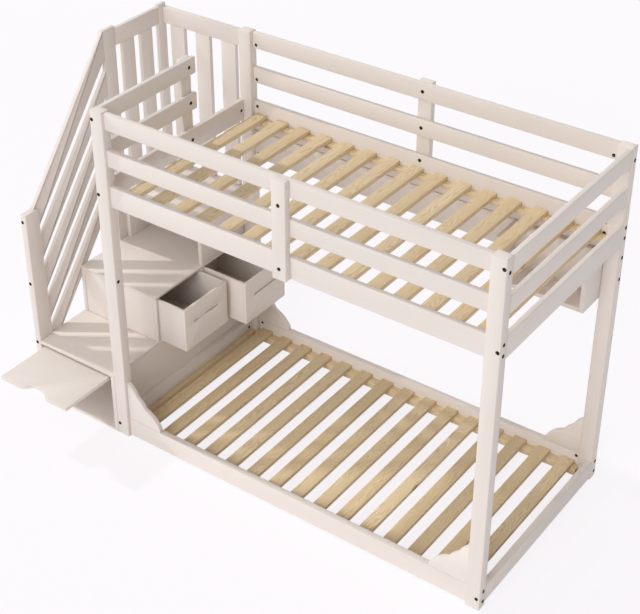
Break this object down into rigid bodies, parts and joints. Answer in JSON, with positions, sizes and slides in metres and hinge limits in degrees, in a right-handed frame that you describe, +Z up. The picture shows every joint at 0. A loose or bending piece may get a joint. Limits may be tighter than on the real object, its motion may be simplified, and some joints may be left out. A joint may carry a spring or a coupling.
{
  "type": "bunk bed with storage stairs",
  "caption": "Bunk bed with slatted decks, guard rails, cloud-shaped corner brackets and side stairs that hold drawers, a drop-door compartment and a cubby.",
  "frame": {"origin": "middle of the underside of the front left post's foot, on the floor", "axes": "+X along the bed to the right, away from the stairs; +Y from the front to the rear; +Z up"},
  "size_m": [2.514, 1.375, 1.7411],
  "materials": {
    "painted_wood": "pale off-white satin paint over wood",
    "raw_pine": "planed pine, unpainted",
    "bolt_steel": "dark bronze finish",
    "zinc_steel": "zinc plated",
    "hinge_steel": "satin nickel"
  },
  "bodies": {
    "frame": {"barrel_nuts": "zinc_steel", "compartment_floor": "painted_wood", "corner_guard_post": "painted_wood", "cubby_sides": "painted_wood", "drawer_divider": "painted_wood", "drawer_shelf": "painted_wood", "drawer_stiles": "painted_wood", "frame_bolts": "bolt_steel", "front_centre_batten": "painted_wood", "front_guard_rails": "painted_wood", "guard_bars": "painted_wood", "hinge_pins": "hinge_steel", "landing": "painted_wood", "landing_rear_rail": "painted_wood", "landing_rear_slats": "painted_wood", "landing_side_rail": "painted_wood", "landing_side_slats": "painted_wood", "left_guard_batten": "painted_wood", "left_guard_rails": "painted_wood", "lower_corner_brackets": "painted_wood", "lower_end_rail_left": "painted_wood", "lower_end_rail_right": "painted_wood", "lower_side_rail_front": "painted_wood", "lower_side_rail_rear": "painted_wood", "lower_slat_cleats": "raw_pine", "lower_slats": "raw_pine", "middle_guard_post": "painted_wood", "newel_post": "painted_wood", "platform": "painted_wood", "post_front_left": "painted_wood", "post_front_right": "painted_wood", "post_rear_left": "painted_wood", "post_rear_right": "painted_wood", "rear_board": "painted_wood", "rear_centre_batten": "painted_wood", "rear_guard_rails": "painted_wood", "right_guard_rails": "painted_wood", "riser": "painted_wood", "shelf_back": "painted_wood", "shelf_bottom": "painted_wood", "shelf_ends": "painted_wood", "sloped_top_rail": "painted_wood", "stair_back_panels": "painted_wood", "stair_side_left": "painted_wood", "stair_side_right": "painted_wood", "tread": "painted_wood", "upper_end_rail_left": "painted_wood", "upper_end_rail_right": "painted_wood", "upper_side_rail_front": "painted_wood", "upper_side_rail_rear": "painted_wood", "upper_slat_cleats": "raw_pine", "upper_slats": "raw_pine"},
    "drawer_1": {"drawer_1_front": "painted_wood", "drawer_1_box": "painted_wood"},
    "drawer_2": {"drawer_2_front": "painted_wood", "drawer_2_box": "painted_wood"},
    "flap": {"compartment_door": "painted_wood"}
  },
  "joints": [
    {"name": "drawer_1_slide", "type": "slide", "parent": "frame", "child": "drawer_1", "axis": [1, 0, 0], "range_m": [-0.165, 0.175]},
    {"name": "drawer_2_slide", "type": "slide", "parent": "frame", "child": "drawer_2", "axis": [1, 0, 0], "range_m": [-0.257, 0.083]},
    {"name": "door_hinge", "type": "hinge", "parent": "frame", "child": "flap", "pos_m": [-0.2775, -0.02, 0.3085], "axis": [1, 0, 0], "range_deg": [0, 90]}
  ]
}
